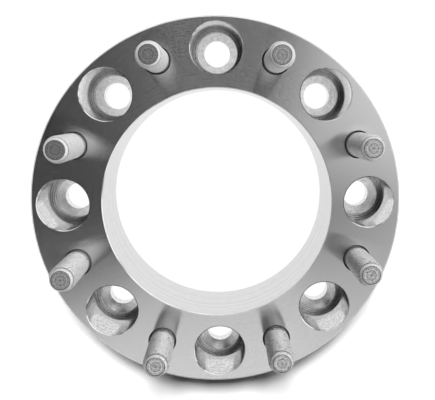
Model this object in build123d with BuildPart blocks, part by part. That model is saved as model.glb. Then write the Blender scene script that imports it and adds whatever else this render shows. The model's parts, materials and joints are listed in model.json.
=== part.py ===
from build123d import *
import os
from math import cos, radians, sin

# Bolt-on wheel spacer for an eight-lug hub. Its ring bolts to the hub through eight lug holes,
# and the wheel goes on eight studs pressed in halfway between them.
# The origin is on the bore's axis in the hub face, and +Z points at the wheel. Millimetres.

# Ring, turned from one billet: its walls are the least ones, outside and inside the lug pockets
ring_thickness = 50.8
outer_wall = 3.5
bore_wall = 7.0
ring_chamfer = 1.0
bore_chamfer = 0.5

# Circle that the lug holes and the studs share
bolt_circle_diameter = 170.0
lug_count = 8

# Lug pockets, sunk from the wheel face so that the nuts sit below it
pocket_diameter = 28.5
pocket_chamfer = 0.45
web_thickness = 15.3
nut_seat_diameter = 23.5
nut_seat_angle = 60.0
lug_hole_diameter = 15.6

# Stud holes, with a recess from the hub face that hides each stud's head
shank_clearance = 0.5
head_clearance = 1.0
head_recess_depth = 20.0

# Studs, headed and rolled from steel wire, for an M14 x 1.5 nut
stud_thread_diameter = 13.85
shank_over_thread = 0.35
stud_protrusion = 40.4
stud_head_diameter = 22.0
stud_head_thickness = 4.5
knurl_length = 12.0
knurl_tooth_count = 28
knurl_tooth_height = 0.42
knurl_clearance = 0.02
collar_height = 1.4
nose_diameter = 11.8
nose_length = 2.0
nose_chamfer = 0.97
thread_end_length = 1.3

# Places that follow from the sizes above
bolt_circle_radius = bolt_circle_diameter / 2
ring_diameter = bolt_circle_diameter + pocket_diameter + 2 * outer_wall
bore_diameter = bolt_circle_diameter - pocket_diameter - 2 * bore_wall
pocket_depth = ring_thickness - web_thickness
stud_shank_diameter = stud_thread_diameter + shank_over_thread
stud_hole_diameter = stud_shank_diameter + 2 * shank_clearance
head_recess_diameter = stud_head_diameter + 2 * head_clearance
stud_start_angle = 180 / lug_count
knurl_tip_radius = stud_hole_diameter / 2 - knurl_clearance
knurl_root_radius = knurl_tip_radius - knurl_tooth_height
stud_tip_height = ring_thickness + stud_protrusion
same_size = 0.001


def rims(part, height, diameter):
    """The round edges of one diameter that lie at one height."""
    level = part.edges().filter_by(GeomType.CIRCLE)
    level = level.filter_by_position(Axis.Z, height - same_size, height + same_size)
    return level.filter_by(lambda edge: abs(2 * edge.radius - diameter) < same_size)


# Spacer ring: bored and turned disc, pocketed from the wheel face and recessed from the hub face
hub_side = Plane(origin=(0, 0, 0), x_dir=(1, 0, 0), z_dir=(0, 0, -1))

with BuildPart() as spacer_ring:
    with BuildSketch(Plane.XY):
        Circle(ring_diameter / 2)
        Circle(bore_diameter / 2, mode=Mode.SUBTRACT)
    extrude(amount=ring_thickness)

    # Flat-bottomed pocket and through hole for each lug nut
    with Locations((0, 0, ring_thickness)):
        with PolarLocations(bolt_circle_radius, lug_count):
            CounterBoreHole(lug_hole_diameter / 2, pocket_diameter / 2, pocket_depth)

    # Conical seat for the nut, cut into each pocket's floor
    with Locations((0, 0, web_thickness)):
        with PolarLocations(bolt_circle_radius, lug_count):
            CounterSinkHole(
                lug_hole_diameter / 2,
                nut_seat_diameter / 2,
                counter_sink_angle=nut_seat_angle,
            )

    # Stud holes halfway between the lugs, recessed from the hub side for the heads
    with Locations(hub_side):
        with PolarLocations(bolt_circle_radius, lug_count, start_angle=stud_start_angle):
            CounterBoreHole(stud_hole_diameter / 2, head_recess_diameter / 2, head_recess_depth)

    # Broken edges: outside, bore and pockets
    for face_height in (0, ring_thickness):
        chamfer(rims(spacer_ring, face_height, ring_diameter), ring_chamfer)
        chamfer(rims(spacer_ring, face_height, bore_diameter), bore_chamfer)
    chamfer(rims(spacer_ring, ring_thickness, pocket_diameter), pocket_chamfer)

# Wheel stud: round head, straight knurl, smooth shank that ends in a collar above the face,
# thread at its major diameter and dog nose
head_radius = stud_head_diameter / 2
shank_radius = stud_shank_diameter / 2
thread_radius = stud_thread_diameter / 2
nose_radius = nose_diameter / 2
head_end = head_recess_depth - stud_head_thickness
collar_end = ring_thickness + collar_height
nose_start = stud_tip_height - nose_length

with BuildPart() as wheel_stud:
    with BuildSketch(Plane.XZ):
        with BuildLine():
            Polyline(
                (0, head_end),
                (head_radius, head_end),
                (head_radius, head_recess_depth),
                (shank_radius, head_recess_depth),
                (shank_radius, collar_end),
                (thread_radius, collar_end),
                (thread_radius, nose_start - thread_end_length),
                (nose_radius, nose_start),
                (nose_radius, stud_tip_height - nose_chamfer),
                (nose_radius - nose_chamfer, stud_tip_height),
                (0, stud_tip_height),
                close=True,
            )
        make_face()
    revolve(axis=Axis.Z)

    # Straight knurl under the head: sharp teeth whose tips reach the hole's wall
    knurl_points = []
    for corner in range(2 * knurl_tooth_count):
        corner_radius = knurl_root_radius if corner % 2 else knurl_tip_radius
        corner_angle = radians(180 / knurl_tooth_count * corner)
        knurl_points.append((corner_radius * cos(corner_angle), corner_radius * sin(corner_angle)))
    with BuildSketch(Plane.XY.offset(head_recess_depth)):
        Polygon(*knurl_points, align=None)
    extrude(amount=knurl_length)

# One STEP file for each piece
os.makedirs("parts", exist_ok=True)

spacer_ring.part.label = "spacer_ring"
export_step(spacer_ring.part, "parts/spacer_ring.step")

stud_angle = 360 / lug_count
for number in range(1, lug_count + 1):
    angle = radians(stud_start_angle + stud_angle * (number - 1))
    stud_axis = Location((bolt_circle_radius * cos(angle), bolt_circle_radius * sin(angle), 0))
    with BuildPart() as stud_in_place:
        with Locations(stud_axis):
            add(wheel_stud.part)
    stud_in_place.part.label = f"wheel_stud_{number}"
    export_step(stud_in_place.part, f"parts/wheel_stud_{number}.step")
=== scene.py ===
import json
from math import atan2, cos, hypot, pi, radians, sin, sqrt, tan

import bmesh
import bpy
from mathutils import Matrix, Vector


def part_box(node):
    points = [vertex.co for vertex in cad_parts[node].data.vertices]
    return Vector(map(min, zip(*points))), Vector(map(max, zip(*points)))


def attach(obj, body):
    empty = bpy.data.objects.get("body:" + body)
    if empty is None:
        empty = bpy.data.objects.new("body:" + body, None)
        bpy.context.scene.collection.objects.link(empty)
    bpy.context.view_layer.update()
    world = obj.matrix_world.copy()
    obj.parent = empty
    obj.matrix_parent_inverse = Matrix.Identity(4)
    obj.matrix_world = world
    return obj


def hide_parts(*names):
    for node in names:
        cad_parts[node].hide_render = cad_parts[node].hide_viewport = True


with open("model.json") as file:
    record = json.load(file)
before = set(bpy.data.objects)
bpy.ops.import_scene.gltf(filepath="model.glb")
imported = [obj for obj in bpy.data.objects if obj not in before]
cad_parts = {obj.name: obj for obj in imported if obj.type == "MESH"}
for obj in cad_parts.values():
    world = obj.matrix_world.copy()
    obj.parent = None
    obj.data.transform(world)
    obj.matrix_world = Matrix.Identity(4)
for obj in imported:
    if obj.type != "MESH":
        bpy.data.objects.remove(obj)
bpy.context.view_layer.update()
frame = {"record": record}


# Spacer ring.
# One disc of aluminium, sawn from bar and turned all over on a lathe, then bored for the lug
# nuts from the wheel face and for the stud heads from the hub face.

mm = 0.001
ring_low, ring_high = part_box("spacer_ring")
ring_radius = (ring_high[0] - ring_low[0]) / 2 / mm
wheel_face = ring_high[2] / mm
mounts = {mount["name"]: mount["dims"] for mount in frame["record"]["mounts"]}
bore_radius = mounts["hub_bore"]["r_mm"]
bolt_circle = mounts["lug_holes"]["pcd_mm"] / 2
lug_count = mounts["lug_holes"]["count"]
lug_hole_radius = mounts["lug_holes"]["hole_r_mm"]
rim_chamfer = 1.0
bore_chamfer = 0.5
back_chamfer = 0.25

# Lug pockets, with a conical nut seat and the grooves that the tool leaves in the floor
pocket_radius = 14.25
pocket_chamfer = 0.45
pocket_floor = 15.3
seat_radius = 11.75
seat_depth = (seat_radius - lug_hole_radius) / tan(radians(30))
corner_groove = 0.5
floor_groove = 0.3
floor_groove_radius = 13.0
seat_groove = 0.4

# Stud holes, a little wider at the mouth, and the recesses for the studs' heads
stud_hole_radius = 7.6
mouth_radius = 7.8
mouth_depth = 2.0
mouth_ramp = 0.2
mouth_chamfer = 0.1
recess_radius = 12.0
recess_top = 20.0

# The ring is made of sectors round one hole each, with these numbers of points along their edges
sector_half = pi / (2 * lug_count)
outer_steps = 20
side_steps = 18
inner_steps = 11


def linear(hex_colour):
    """The linear RGBA of an sRGB hex colour."""
    values = [int(hex_colour[i:i + 2], 16) / 255 for i in (1, 3, 5)]
    return [v / 12.92 if v <= 0.04045 else ((v + 0.055) / 1.055) ** 2.4 for v in values] + [1]


def circle(centre, radius, height, towards):
    """Points of a circle, each in the direction of one of the points in towards."""
    points = []
    for x, y in towards:
        reach = hypot(x - centre[0], y - centre[1])
        points.append((
            centre[0] + (x - centre[0]) / reach * radius,
            centre[1] + (y - centre[1]) / reach * radius,
            height,
        ))
    return points


def skin(mesh, loops):
    """Faces between each closed loop of points and the next."""
    rows = [[mesh.verts.new([v * mm for v in point]) for point in loop] for loop in loops]
    bands = []
    for lower, upper in zip(rows, rows[1:]):
        band = []
        for i in range(len(lower)):
            j = (i + 1) % len(lower)
            band.append(mesh.faces.new((lower[i], lower[j], upper[j], upper[i])))
        bands.append(band)
    return rows, bands


def finished(mesh, name, crease=30):
    """Closes the seams of a mesh under construction and makes it an object, smooth between creases."""
    seam = 0.001 * mm
    bmesh.ops.remove_doubles(mesh, verts=mesh.verts, dist=seam)
    bmesh.ops.recalc_face_normals(mesh, faces=mesh.faces)
    data = bpy.data.meshes.new(name)
    mesh.to_mesh(data)
    mesh.free()
    data.shade_smooth()
    data.set_sharp_from_angle(angle=radians(crease))
    piece = bpy.data.objects.new(name, data)
    bpy.context.scene.collection.objects.link(piece)
    return piece


def sector_outline(middle):
    """Outline of the part of the face round one hole, at even steps of direction from the hole."""
    outer, inner = ring_radius - rim_chamfer, bore_radius + bore_chamfer
    outer_turn = atan2(outer * sin(sector_half), outer * cos(sector_half) - bolt_circle)
    inner_turn = atan2(inner * sin(sector_half), inner * cos(sector_half) - bolt_circle)
    points = []
    for start, end, steps, edge in (
        (-outer_turn, outer_turn, outer_steps, "outer"),
        (outer_turn, inner_turn, side_steps, "left"),
        (inner_turn, 2 * pi - inner_turn, inner_steps, "inner"),
        (2 * pi - inner_turn, 2 * pi - outer_turn, side_steps, "right"),
    ):
        for i in range(steps):
            heading = start + (end - start) * i / steps
            if edge == "outer":
                reach = sqrt(outer ** 2 - (bolt_circle * sin(heading)) ** 2) - bolt_circle * cos(heading)
            elif edge == "inner":
                reach = -sqrt(inner ** 2 - (bolt_circle * sin(heading)) ** 2) - bolt_circle * cos(heading)
            else:
                lean = sector_half if edge == "left" else -sector_half
                reach = bolt_circle * sin(lean) / sin(heading - lean)
            x, y = bolt_circle + reach * cos(heading), reach * sin(heading)
            points.append((x * cos(middle) - y * sin(middle), x * sin(middle) + y * cos(middle)))
    return points


# Radius and height of each loop round a hole, and the finish of the surface that leads to it
TURNED, BROKEN, BORED, FACED, SUNK, INNER = range(6)
pocket_profile = [
    (pocket_radius + pocket_chamfer, wheel_face, TURNED),
    (pocket_radius, wheel_face - pocket_chamfer, BROKEN),
    (pocket_radius, pocket_floor - corner_groove, BORED),
    (pocket_radius - corner_groove, pocket_floor, FACED),
    (floor_groove_radius + floor_groove, pocket_floor, FACED),
    (floor_groove_radius, pocket_floor - floor_groove, FACED),
    (floor_groove_radius - floor_groove, pocket_floor, FACED),
    (seat_radius + seat_groove, pocket_floor, FACED),
    (seat_radius, pocket_floor - 2 * seat_groove, FACED),
    (lug_hole_radius, pocket_floor - seat_depth, SUNK),
    (lug_hole_radius, back_chamfer, SUNK),
    (lug_hole_radius + back_chamfer, 0, BROKEN),
]
stud_hole_profile = [
    (mouth_radius + mouth_chamfer, wheel_face, TURNED),
    (mouth_radius, wheel_face - mouth_chamfer, BROKEN),
    (mouth_radius, wheel_face - mouth_depth, FACED),
    (stud_hole_radius, wheel_face - mouth_depth - mouth_ramp, FACED),
    (stud_hole_radius, recess_top, BORED),
    (recess_radius, recess_top, FACED),
    (recess_radius, back_chamfer, BORED),
    (recess_radius + back_chamfer, 0, BROKEN),
]

ring_mesh = bmesh.new()
cut_axis = ring_mesh.faces.layers.float_vector.new("cut_axis")
edges = {"outer": [], "inner": []}
for number in range(2 * lug_count):
    middle = 2 * sector_half * number
    centre = (bolt_circle * cos(middle), bolt_circle * sin(middle))
    outline = sector_outline(middle)
    edges["outer"] += outline[:outer_steps]
    edges["inner"] += outline[outer_steps + side_steps:outer_steps + side_steps + inner_steps][::-1]
    profile = stud_hole_profile if number % 2 else pocket_profile
    loops = [[(x, y, wheel_face) for x, y in outline]]
    loops += [circle(centre, radius, height, outline) for radius, height, finish in profile]
    loops += [[(x, y, 0) for x, y in outline]]
    bands = skin(ring_mesh, loops)[1]
    for band, (radius, height, finish) in zip(bands, profile):
        for face in band:
            face.material_index = finish
            if finish != TURNED:
                face[cut_axis] = (centre[0] * mm, centre[1] * mm, 0)
for edge, radius, chamfer, side, wall in (
    ("outer", ring_radius, rim_chamfer, 1, TURNED),
    ("inner", bore_radius, bore_chamfer, -1, INNER),
):
    upper_edge, wall_band, lower_edge = skin(ring_mesh, [
        circle((0, 0), radius - side * chamfer, wheel_face, edges[edge]),
        circle((0, 0), radius, wheel_face - chamfer, edges[edge]),
        circle((0, 0), radius, chamfer, edges[edge]),
        circle((0, 0), radius - side * chamfer, 0, edges[edge]),
    ])[1]
    for face in upper_edge + lower_edge:
        face.material_index = BROKEN
    for face in wall_band:
        face.material_index = wall
ring = finished(ring_mesh, "turned_ring")


def add(tree, kind, inputs=None, **settings):
    """Adds a node with its settings. An input is a value or the output socket that feeds it."""
    node = tree.nodes.new("ShaderNode" + kind)
    for name, value in settings.items():
        setattr(node, name, value)
    for key, value in (inputs or {}).items():
        if isinstance(value, bpy.types.NodeSocket):
            tree.links.new(value, node.inputs[key])
        else:
            node.inputs[key].default_value = value
    return node


def new_material(name):
    """A material with an empty tree, its surface shader and the point on the object in millimetres."""
    material = bpy.data.materials.new(name)
    material.use_nodes = True
    tree = material.node_tree
    tree.nodes.clear()
    shader = add(tree, "BsdfPrincipled")
    add(tree, "OutputMaterial", {"Surface": shader.outputs["BSDF"]})
    place = add(tree, "TexCoord")
    point = add(tree, "VectorMath", {0: place.outputs["Object"], "Scale": 1 / mm}, operation="SCALE")
    return material, tree, shader, point.outputs["Vector"]


# Grains under a millimetre across, and pits where their noise lies above these values
grains_per_mm = 1.2
pit_edge = 0.59
pit_middle = 0.67


def pitted(tree, point, colour):
    """The colour with small dark pits, as deep as a face attribute says, which also holds painted shade.
    """
    grains = add(tree, "TexNoise", {"Vector": point, "Scale": grains_per_mm, "Detail": 2})
    pits = add(tree, "MapRange", {"Value": grains.outputs["Fac"], "From Min": pit_edge,
                                  "From Max": pit_middle})
    amount = add(tree, "Attribute", attribute_name="pits_and_painted_shade")
    depth = add(tree, "Math", {0: pits.outputs["Result"], 1: amount.outputs["Fac"]}, operation="MULTIPLY")
    mix = add(tree, "Mix", {"Factor": depth.outputs["Value"], "A": colour, "B": linear("#404040")},
              data_type="RGBA")
    return mix.outputs["Result"]


# Most of a noise pattern lies between these values, and gloss changes by this share with the tone
noise_low = 0.33
noise_high = 0.67
gloss_change = 0.15


def cut_metal(name, light, dark, roughness, spread, groove_width, groove_depth, blotch, grooved):
    """Metal with a tool's grooves round its axis, which smear the light across them.

    Each groove catches the light a little differently. Widths are in millimetres, and grooved
    is how far the tone follows the grooves and not the blotches.
    """
    material, tree, shader, point = new_material(name)
    axis = add(tree, "Attribute", attribute_name="cut_axis")
    centre = add(tree, "VectorMath", {0: axis.outputs["Vector"], "Scale": 1 / mm}, operation="SCALE")
    from_axis = add(tree, "VectorMath", {0: point, 1: centre.outputs["Vector"]}, operation="SUBTRACT")
    flat = add(tree, "VectorMath", {0: from_axis.outputs["Vector"], 1: (1, 1, 0)}, operation="MULTIPLY")
    along = add(tree, "VectorMath", {0: (0, 0, 1), 1: flat.outputs["Vector"]}, operation="CROSS_PRODUCT")
    normal = add(tree, "NewGeometry")
    across = add(tree, "VectorMath", {0: normal.outputs["Normal"], 1: along.outputs["Vector"]},
                 operation="CROSS_PRODUCT")
    radius = add(tree, "VectorMath", {0: flat.outputs["Vector"]}, operation="LENGTH")
    height = add(tree, "SeparateXYZ", {"Vector": point})
    travel = add(tree, "Math", {0: radius.outputs["Value"], 1: height.outputs["Z"]}, operation="ADD")
    grooves = add(tree, "TexNoise", {"W": travel.outputs["Value"], "Scale": 1 / groove_width, "Detail": 2},
                  noise_dimensions="1D")
    patches = add(tree, "TexNoise", {"Vector": point, "Scale": 1 / blotch, "Detail": 3})
    blend = add(tree, "Mix", {"Factor": grooved, "A": patches.outputs["Fac"], "B": grooves.outputs["Fac"]},
                data_type="FLOAT")
    tone = add(tree, "MapRange", {"Value": blend.outputs["Result"], "From Min": noise_low,
                                  "From Max": noise_high})
    colour = add(tree, "Mix", {"Factor": tone.outputs["Result"], "A": linear(dark), "B": linear(light)},
                 data_type="RGBA")
    tree.links.new(pitted(tree, point, colour.outputs["Result"]), shader.inputs["Base Color"])
    rough = add(tree, "MapRange", {"Value": tone.outputs["Result"],
                                   "To Min": roughness * (1 + gloss_change),
                                   "To Max": roughness * (1 - gloss_change)})
    tree.links.new(rough.outputs["Result"], shader.inputs["Roughness"])
    bump = add(tree, "Bump", {"Height": blend.outputs["Result"], "Distance": groove_depth * mm})
    tree.links.new(bump.outputs["Normal"], shader.inputs["Normal"])
    tree.links.new(across.outputs["Vector"], shader.inputs["Tangent"])
    shader.inputs["Metallic"].default_value = 1
    shader.inputs["Anisotropic"].default_value = spread
    return material


# The real grooves lie about 0.1 mm apart, and all of them are drawn wider, so that they show.
# The face and the outer wall are fine-turned: nearly even in tone, with one long smear of light.
turned = cut_metal("fine_turned_aluminium", "#ebebeb", "#e8e8e8", roughness=0.2, spread=0.98,
                   groove_width=0.5, groove_depth=0.0002, blotch=1.0, grooved=0.4)
# The edges are broken with a file, which leaves thin bright lines.
broken = cut_metal("filed_aluminium_edge", "#ececec", "#d8d8d8", roughness=0.15, spread=0.3,
                   groove_width=0.5, groove_depth=0.002, blotch=2.5, grooved=0.2)
# The walls of pockets and stud holes are bored: nearly mirrors, with light and dark streaks.
bored = cut_metal("bored_aluminium", "#eeeeee", "#a0a0a0", roughness=0.07, spread=0.7,
                  groove_width=0.9, groove_depth=0.006, blotch=1.4, grooved=0.45)
# The pockets' floors and the steps in the holes are end-milled: the coarsest cut, with rings.
faced = cut_metal("end_milled_aluminium", "#ffffff", "#b0b0b0", roughness=0.35, spread=0.8,
                  groove_width=0.8, groove_depth=0.02, blotch=1.5, grooved=0.7)
# The nut seats and lug holes are countersunk and drilled: bright and a little cloudy.
sunk = cut_metal("countersunk_aluminium", "#f4f4f4", "#cccccc", roughness=0.15, spread=0.5,
                 groove_width=0.9, groove_depth=0.003, blotch=1.8, grooved=0.4)
# The bore is turned with a longer tool: pale, with faint wide streaks round it.
inner = cut_metal("turned_aluminium_bore", "#e3e3e3", "#dbdbdb", roughness=0.2, spread=0.98,
                  groove_width=3.5, groove_depth=0.0002, blotch=3.5, grooved=0.65)
for finish in (turned, broken, bored, faced, sunk, inner):
    ring.data.materials.append(finish)
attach(ring, "root")
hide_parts("spacer_ring")


# Wheel studs.
# Eight headed steel studs with rolled M14 x 1.5 threads, zinc plated. Each is pressed in from
# the hub side until its head seats in the recess, and its knurl bites into the ring.

# Head, knurl and shank, as in the solids
stud_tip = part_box("wheel_stud_1")[1][2] / mm
head_radius = 11.0
head_bottom = 15.5
head_chamfer = 0.5
knurl_teeth = 28
knurl_tip = 7.58
knurl_root = 7.16
knurl_end = 32.0
knurl_lead = 0.6
shank_radius = 7.1

# Collar above the face, and the relief that ends the thread below
collar_foot = wheel_face - 0.8
collar_ramp = 0.3
collar_end = wheel_face + 1.4
collar_radius = 6.55
collar_chamfer = 0.25
relief_radius = 5.5
relief_length = 0.7
relief_ramp = 0.3

# Dog nose, undercut behind, with the lip and centre mark that cropping and turning leave
nose_radius = 5.9
nose_start = stud_tip - 2.0
nose_chamfer = 0.97
undercut = 0.5
lip_width = 0.3
lip_wall = 0.1
lip_depth = 0.2
mark_radius = 0.5
mark_depth = 0.15
mark_bottom = 0.05

# Thread, whose ridge is sunk into the core, rises and fades over part of a turn, and is cut down
# to the nose by the tapered end
thread_radius = mounts["wheel_studs"]["stud_r_mm"]
thread_pitch = 1.5
thread_depth = 0.92
core_radius = thread_radius - thread_depth
thread_start = collar_end + 1.2
end_taper = 1.3
thread_end = nose_start - end_taper
ridge_sink = 0.2
ridge_foot = 0.1
least_ridge = 0.05
crest_half = thread_pitch / 16
flank_length = thread_pitch * 7 / 16 - 2 * crest_half
rise_turns = 0.75
fade_turns = 0.5
fade_end = thread_end + 0.3
ridge_steps = 40
stud_sides = 2 * knurl_teeth

# Radius and height of each loop up a stud, the finish of the surface that leads to it, and how
# much of the stud's pits and painted shade that surface has. The hollows and gaps get the darker
# zinc: painted shade, where shade falls in them.
ZINC, CROPPED, PAINTED_SHADE = range(3)
stud_profile = [
    (head_radius - head_chamfer, head_bottom, ZINC, 1),
    (head_radius, head_bottom + head_chamfer, ZINC, 1),
    (head_radius, recess_top, ZINC, 1),
    (knurl_tip, recess_top, ZINC, 1),
    (knurl_tip, knurl_end - knurl_lead, ZINC, 1),
    (shank_radius, knurl_end, ZINC, 1),
    (shank_radius, collar_foot, PAINTED_SHADE, 1),
    (collar_radius, collar_foot + collar_ramp, PAINTED_SHADE, 1),
    (collar_radius, collar_end - collar_chamfer, ZINC, 1),
    (collar_radius - collar_chamfer, collar_end, ZINC, 1),
    (relief_radius, collar_end, ZINC, 1),
    (relief_radius, collar_end + relief_length, ZINC, 1),
    (core_radius, collar_end + relief_length + relief_ramp, ZINC, 1),
    (core_radius, nose_start - 2 * undercut, ZINC, 1),
    (nose_radius - undercut, nose_start - undercut, PAINTED_SHADE, 1),
    (nose_radius - undercut, nose_start, PAINTED_SHADE, 1),
    (nose_radius, nose_start, PAINTED_SHADE, 1),
    (nose_radius, stud_tip - nose_chamfer, ZINC, 0.5),
    (nose_radius - nose_chamfer, stud_tip, ZINC, 0.5),
    (nose_radius - nose_chamfer - lip_wall, stud_tip - lip_depth, PAINTED_SHADE, 1),
    (nose_radius - nose_chamfer - lip_wall - lip_width, stud_tip, PAINTED_SHADE, 1),
    (mark_radius, stud_tip, CROPPED, 0.75),
    (mark_bottom, stud_tip - mark_depth, PAINTED_SHADE, 0.75),
]


def stud_loop(centre, radius, height):
    """A round loop of a stud, with every second point between two teeth where it is knurled."""
    points = []
    for i in range(stud_sides):
        angle = 2 * pi * i / stud_sides
        reach = knurl_root if radius == knurl_tip and i % 2 else radius
        points.append((centre[0] + reach * cos(angle), centre[1] + reach * sin(angle), height))
    return points


def wind_thread(mesh, centre, lead_angle):
    """The thread's ridge, wound right-handed on the core and run out at both ends."""
    base = core_radius - ridge_sink
    steps = round((fade_end - thread_start) / thread_pitch * ridge_steps)
    rows = []
    for step in range(steps + 1):
        turn = 2 * pi * step / ridge_steps
        height = thread_start + thread_pitch * step / ridge_steps
        rise = min(1, step / (ridge_steps * rise_turns), (steps - step) / (ridge_steps * fade_turns))
        end_cone = thread_radius - (height - thread_end) / end_taper * (thread_radius - nose_radius)
        crest = max(base + least_ridge, min(base + (thread_radius - base) * rise, end_cone))
        row = []
        for radius, lift in (
            (base, -crest_half - flank_length - ridge_foot),
            (crest, -crest_half),
            (crest, crest_half),
            (base, crest_half + flank_length + ridge_foot),
        ):
            angle = turn + lead_angle
            row.append(mesh.verts.new((
                (centre[0] + radius * cos(angle)) * mm,
                (centre[1] + radius * sin(angle)) * mm,
                (height + lift) * mm,
            )))
        rows.append(row)
    for lower, upper in zip(rows, rows[1:]):
        for i in range(4):
            j = (i + 1) % 4
            face = mesh.faces.new((lower[i], lower[j], upper[j], upper[i]))
            # The run-out of the ridge gets the darker zinc: painted shade.
            if lower[1].co.z > thread_end * mm:
                face.material_index = PAINTED_SHADE
    mesh.faces.new(rows[0])
    mesh.faces.new(rows[-1])


# Clouds about two millimetres across, and grains whose noise takes the roughness from gloss to haze
clouds_per_mm = 0.55
grain_height = 0.01
grain_low = 0.3
grain_high = 0.7
zinc_gloss = 0.27
zinc_haze = 0.4


def zinc_plated_steel(name, light, dark):
    """Zinc over rolled steel: satin and cloudy, with dark specks, and greyer where they are many and where
    a face attribute holds painted shade.
    """
    material, tree, shader, point = new_material(name)
    clouds = add(tree, "TexNoise", {"Vector": point, "Scale": clouds_per_mm, "Detail": 3})
    grains = add(tree, "TexNoise", {"Vector": point, "Scale": grains_per_mm, "Detail": 2})
    colour = add(tree, "Mix", {"Factor": clouds.outputs["Fac"], "A": linear(dark), "B": linear(light)},
                 data_type="RGBA")
    pits_and_shade_amount = add(tree, "Attribute", attribute_name="pits_and_painted_shade")
    greyed_by_pits_and_shade = add(tree, "Mix", {"Factor": pits_and_shade_amount.outputs["Fac"], "A": colour.outputs["Result"],
                             "B": linear("#e0e0e0")}, data_type="RGBA", blend_type="MULTIPLY")
    tree.links.new(pitted(tree, point, greyed_by_pits_and_shade.outputs["Result"]), shader.inputs["Base Color"])
    rough = add(tree, "MapRange", {"Value": grains.outputs["Fac"], "From Min": grain_low,
                                   "From Max": grain_high, "To Min": zinc_gloss, "To Max": zinc_haze})
    tree.links.new(rough.outputs["Result"], shader.inputs["Roughness"])
    bump = add(tree, "Bump", {"Height": grains.outputs["Fac"], "Distance": grain_height * mm})
    tree.links.new(bump.outputs["Normal"], shader.inputs["Normal"])
    shader.inputs["Metallic"].default_value = 1
    return material


# The barrel is bright, and the hollows, gaps and edges get a darker zinc, which is painted shade
# where shade falls. The end is turned before plating, with rings drawn about 1 mm apart.
zinc = zinc_plated_steel("bright_zinc_plated_steel", "#f4f4f4", "#d0d0d0")
painted_shade_zinc = zinc_plated_steel("painted_shade_zinc_plated_steel", "#a4a4a4", "#7c7c7c")
cropped = cut_metal("turned_zinc_plated_end", "#ffffff", "#787878", roughness=0.36, spread=0,
                    groove_width=1.0, groove_depth=0.03, blotch=0.8, grooved=0.6)

# The studs on one side of the ring get more pits and a greyer zinc than those opposite: the pits
# are the zinc's own, and the change from side to side is painted shade.
mean_pits_and_shade = 0.55
painted_shade_change = 0.4
most_pitted_and_shaded = radians(-60)
for number in range(1, lug_count + 1):
    angle = 2 * sector_half * (2 * number - 1)
    centre = (bolt_circle * cos(angle), bolt_circle * sin(angle))
    stud_mesh = bmesh.new()
    cut_axis = stud_mesh.faces.layers.float_vector.new("cut_axis")
    pits_and_painted_shade = stud_mesh.faces.layers.float.new("pits_and_painted_shade")
    loops = [stud_loop(centre, radius, height) for radius, height, finish, share in stud_profile]
    rows, bands = skin(stud_mesh, loops)
    stud_mesh.faces.new(rows[0])
    stud_mesh.faces.new(rows[-1])
    wind_thread(stud_mesh, centre, angle)
    for face in stud_mesh.faces:
        face[pits_and_painted_shade] = mean_pits_and_shade + painted_shade_change * cos(angle - most_pitted_and_shaded)
    for band, (radius, height, finish, share) in zip(bands, stud_profile[1:]):
        for face in band:
            face.material_index = finish
            face[pits_and_painted_shade] *= share
            if finish == CROPPED:
                face[cut_axis] = (centre[0] * mm, centre[1] * mm, 0)
    stud = finished(stud_mesh, f"threaded_stud_{number}", crease=15)
    for finish in (zinc, cropped, painted_shade_zinc):
        stud.data.materials.append(finish)
    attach(stud, "root")
    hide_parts(f"wheel_stud_{number}")


# Floor and light table.
# A pale studio floor, with a round white panel lit from below under the ring, which shows
# through the bore and the lug holes.

floor_half = 1.0
floor_drop = 0.2
floor_mesh = bmesh.new()
corners = ((-1, -1), (1, -1), (1, 1), (-1, 1))
floor_mesh.faces.new([
    floor_mesh.verts.new((x * floor_half, y * floor_half, -floor_drop * mm)) for x, y in corners
])
floor = finished(floor_mesh, "studio_floor")

# The floor is greyer to mirrored light alone, a painted reflection tone so that the ring's wall
# isn't lost in white, and darkest before the near edges: a painted shadow, seen only in reflections.
pale_tone = 0.9
mirrored_tone = 0.6
painted_shadow_tone = 0.36
painted_shadow_place = (0, -330, 0)
painted_shadow_inner = 90
painted_shadow_outer = 170
floor_material, tree, shader, point = new_material("matt_white_floor")
seen = add(tree, "LightPath")
reach = add(tree, "VectorMath", {0: point, 1: painted_shadow_place}, operation="DISTANCE")
painted_shadow = add(tree, "MapRange", {"Value": reach.outputs["Value"], "From Min": painted_shadow_inner,
                              "From Max": painted_shadow_outer, "To Min": painted_shadow_tone, "To Max": mirrored_tone})
tone = add(tree, "Mix", {"Factor": seen.outputs["Is Glossy Ray"], "A": pale_tone,
                         "B": painted_shadow.outputs["Result"]}, data_type="FLOAT")
shade = add(tree, "CombineColor", {"Red": tone.outputs["Result"], "Green": tone.outputs["Result"],
                                   "Blue": tone.outputs["Result"]})
tree.links.new(shade.outputs["Color"], shader.inputs["Base Color"])
shader.inputs["Roughness"].default_value = 0.9
shader.inputs["Specular IOR Level"].default_value = 0
floor.data.materials.append(floor_material)

panel_radius = 100.0
panel_drop = 0.1
panel_mesh = bmesh.new()
panel_edge = circle((0, 0), panel_radius, -panel_drop, edges["outer"])
panel_mesh.faces.new([panel_mesh.verts.new([v * mm for v in place]) for place in panel_edge])
panel = finished(panel_mesh, "lit_panel")
panel_material, tree, shader, point = new_material("backlit_white_panel")
shader.inputs["Base Color"].default_value = linear("#000000")
shader.inputs["Emission Color"].default_value = linear("#ffffff")
shader.inputs["Emission Strength"].default_value = 1.0
panel.data.materials.append(panel_material)


# Studio light.
# A white room with an open ceiling on the right and near sides and a dark hood above the far
# left, so that the turned face runs from light to dark, and a strip light that casts the shadow.

studio = bpy.data.worlds.new("studio")
studio.use_nodes = True
tree = studio.node_tree
tree.nodes.clear()
sky = add(tree, "TexCoord")
direction = sky.outputs["Generated"]
level = add(tree, "VectorMath", {0: direction, 1: (1, 1, 0)}, operation="MULTIPLY")
sideways = level.outputs["Vector"]

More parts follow.
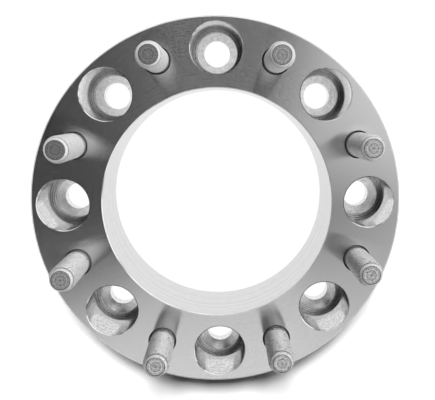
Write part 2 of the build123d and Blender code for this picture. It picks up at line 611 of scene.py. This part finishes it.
# Ceiling: this tone straight above, and how it changes for each unit of direction sideways
ceiling_tone = 1.336
ceiling_lean = (-0.66, 0.8, 0)
leaning = add(tree, "VectorMath", {0: sideways, 1: ceiling_lean}, operation="DOT_PRODUCT")
glow = add(tree, "Math", {0: leaning.outputs["Value"], 1: ceiling_tone}, operation="ADD")

# Hood: round, black in the middle and soft at the rim, and half lit far behind it
hood_place = (-0.30, 0.172, 0)
hood_dark = 0.415
hood_rim = 0.573
behind_start = 0.27
behind_end = 0.5
behind_tone = 0.5
gap = add(tree, "VectorMath", {0: sideways, 1: hood_place}, operation="DISTANCE")
hood = add(tree, "MapRange", {"Value": gap.outputs["Value"], "From Min": hood_dark,
                              "From Max": hood_rim}, interpolation_type="SMOOTHSTEP")
compass = add(tree, "SeparateXYZ", {"Vector": sideways})
behind = add(tree, "MapRange", {"Value": compass.outputs["Y"], "From Min": behind_start,
                                "From Max": behind_end, "To Max": behind_tone},
             interpolation_type="SMOOTHSTEP")
past_hood = add(tree, "Math", {0: hood.outputs["Result"], 1: behind.outputs["Result"]},
                operation="MAXIMUM")

# Arm: a narrow dark bar from the far left, past the hood, that ends a little right of the middle
arm_way = (0.744, -0.668, 0)
arm_across = (0.668, 0.744, 0)
arm_half_width = 0.17
arm_fade_start = 0.217
arm_fade_end = 0.417
arm_tone = 0.05
off_arm = add(tree, "VectorMath", {0: sideways, 1: arm_across}, operation="DOT_PRODUCT")
beside = add(tree, "Math", {0: off_arm.outputs["Value"]}, operation="ABSOLUTE")
arm_side = add(tree, "MapRange", {"Value": beside.outputs["Value"], "From Min": 0,
                                  "From Max": arm_half_width}, interpolation_type="SMOOTHSTEP")
along_arm = add(tree, "VectorMath", {0: sideways, 1: arm_way}, operation="DOT_PRODUCT")
arm_end = add(tree, "MapRange", {"Value": along_arm.outputs["Value"], "From Min": arm_fade_start,
                                 "From Max": arm_fade_end}, interpolation_type="SMOOTHSTEP")
clear_of_arm = add(tree, "Math", {0: arm_side.outputs["Result"], 1: arm_end.outputs["Result"]},
                   operation="MAXIMUM")
arm = add(tree, "MapRange", {"Value": clear_of_arm.outputs["Value"], "To Min": arm_tone})
open_part = add(tree, "Math", {0: past_hood.outputs["Value"], 1: arm.outputs["Result"]},
                operation="MULTIPLY")
ceiling = add(tree, "Math", {0: glow.outputs["Value"], 1: open_part.outputs["Value"]},
              operation="MULTIPLY")

# Upper walls, between the ceiling and the horizon, lighter on the right and the far side
wall_tone = 0.64
wall_lean = (0.36, 0.25, 0)
wall_top = 0.68
ceiling_start = 0.80
height = add(tree, "SeparateXYZ", {"Vector": direction})
wall_leaning = add(tree, "VectorMath", {0: direction, 1: wall_lean}, operation="DOT_PRODUCT")
wall = add(tree, "Math", {0: wall_leaning.outputs["Value"], 1: wall_tone}, operation="ADD")
to_ceiling = add(tree, "MapRange", {"Value": height.outputs["Z"], "From Min": wall_top,
                                    "From Max": ceiling_start}, interpolation_type="SMOOTHSTEP")
upper = add(tree, "Mix", {"Factor": to_ceiling.outputs["Result"], "A": wall.outputs["Value"],
                          "B": ceiling.outputs["Value"]}, data_type="FLOAT")

# Lower walls, down to the floor
horizon_tone = 0.85
horizon_lean = (0.45, 0.2, 0)
horizon_top = 0.3
wall_start = 0.6
horizon_leaning = add(tree, "VectorMath", {0: direction, 1: horizon_lean}, operation="DOT_PRODUCT")
horizon = add(tree, "Math", {0: horizon_leaning.outputs["Value"], 1: horizon_tone}, operation="ADD")
to_wall = add(tree, "MapRange", {"Value": height.outputs["Z"], "From Min": horizon_top,
                                 "From Max": wall_start}, interpolation_type="SMOOTHSTEP")
room = add(tree, "Mix", {"Factor": to_wall.outputs["Result"], "A": horizon.outputs["Value"],
                         "B": upper.outputs["Result"]}, data_type="FLOAT")

# The room hardly lights the matt floor, which is left to the strip light and its shadow
floor_share = 0.05
path = add(tree, "LightPath")
dimmed = add(tree, "MapRange", {"Value": path.outputs["Diffuse Depth"], "To Min": 1.0,
                                "To Max": floor_share})
strength = add(tree, "Math", {0: room.outputs["Result"], 1: dimmed.outputs["Result"]},
               operation="MULTIPLY")
background = add(tree, "Background", {"Color": linear("#ffffff"), "Strength": strength.outputs["Value"]})
add(tree, "OutputWorld", {"Surface": background.outputs["Background"]})
bpy.context.scene.world = studio

# Strip light, above the far side, in metres and watts
strip_width = 0.5
strip_depth = 0.32
strip_power = 62
strip_place = Vector((0, 0.847, 1.812))
strip_data = bpy.data.lights.new("strip_light", "AREA")
strip_data.shape = "RECTANGLE"
strip_data.size = strip_width
strip_data.size_y = strip_depth
strip_data.energy = strip_power
strip_light = bpy.data.objects.new("strip_light", strip_data)
strip_light.location = strip_place
strip_light.rotation_euler = strip_place.to_track_quat("Z", "Y").to_euler()
strip_light.visible_glossy = False
bpy.context.scene.collection.objects.link(strip_light)


# Camera.
# A short telephoto looking down on the wheel face, a little from above the middle, worked out
# from the ellipses of the bore, pockets and studs in the photograph.

# The picture in pixels, the place in millimetres and the tilt in degrees
picture_width, picture_height = 435, 400
focal_pixels = 698.72
middle_x, middle_y = 270.5, 200.5
sensor_width = 36
camera_place = (3.92, 51.96, 437.83)
camera_tilt = (-7.415, -3.754, -0.084)
camera_data = bpy.data.cameras.new("camera")
camera_data.sensor_width = sensor_width
camera_data.lens = sensor_width * focal_pixels / picture_width
camera_data.shift_x = (picture_width / 2 - middle_x) / picture_width
camera_data.shift_y = (middle_y - picture_height / 2) / picture_width
camera_data.clip_start = 0.01
camera = bpy.data.objects.new("camera", camera_data)
camera.location = [v * mm for v in camera_place]
camera.rotation_euler = [radians(v) for v in camera_tilt]
bpy.context.scene.collection.objects.link(camera)
bpy.context.scene.camera = camera
bpy.context.scene.view_settings.view_transform = "Standard"
